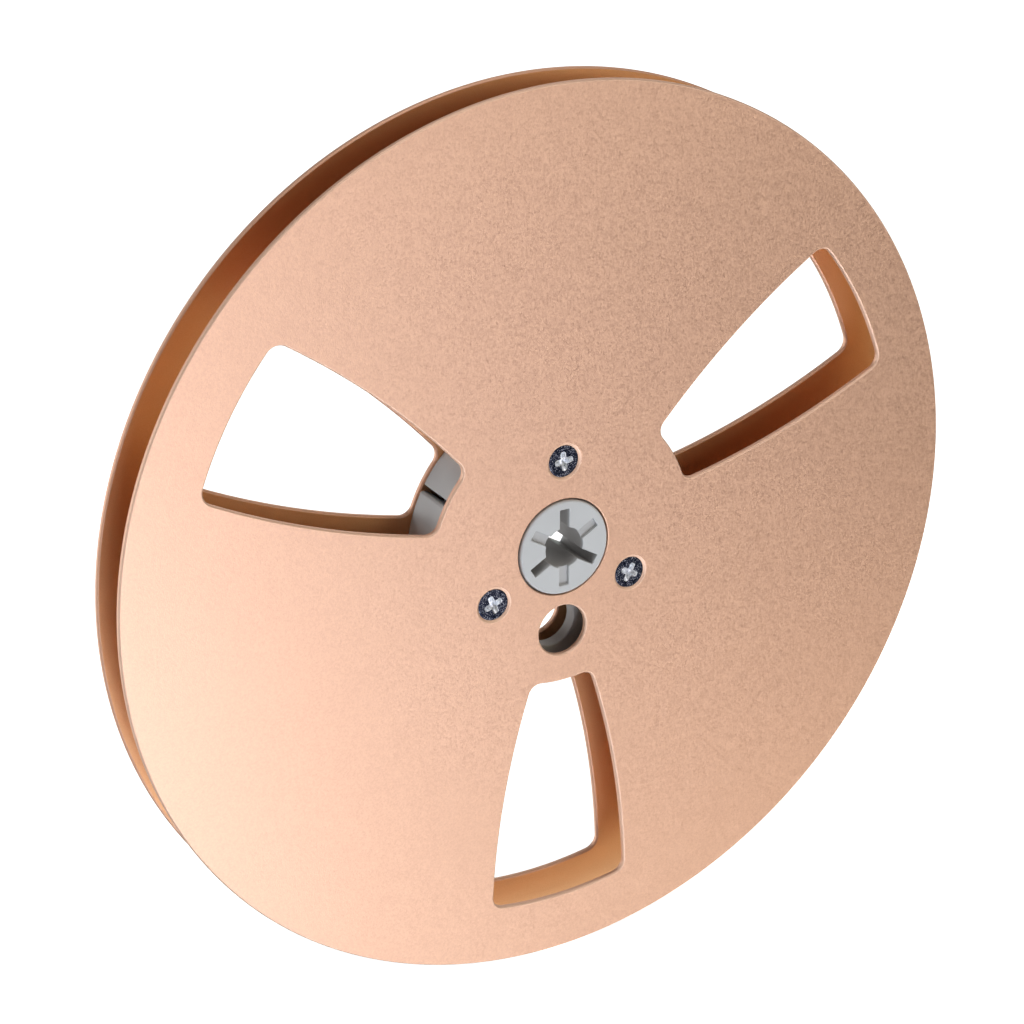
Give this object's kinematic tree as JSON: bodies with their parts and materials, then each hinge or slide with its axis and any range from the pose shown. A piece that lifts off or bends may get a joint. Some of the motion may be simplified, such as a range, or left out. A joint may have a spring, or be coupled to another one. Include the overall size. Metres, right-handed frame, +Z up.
{
  "type": "open-reel tape spool",
  "caption": "Empty open-reel spool: two windowed aluminium flanges screwed to a moulded hub with a keyed spindle bore.",
  "frame": {"origin": "centre of the spindle bore at the reel's mid width", "axes": "+Y along the spindle bore, from the front face to the back; +Z up to 12 o'clock; +X to the right seen from the front"},
  "size_m": [0.178, 0.0124, 0.178],
  "materials": {
    "flange": "bead-blasted and anodised rose gold, satin",
    "hub": "light grey moulded plastic, fine matt",
    "screw": "blue-black zinc plated steel"
  },
  "bodies": {
    "root": {"front_flange": "flange", "back_flange": "flange", "hub": "hub", "front_screw_12": "screw", "front_screw_4": "screw", "front_screw_8": "screw", "back_screw_12": "screw", "back_screw_4": "screw", "back_screw_8": "screw"}
  },
  "joints": []
}
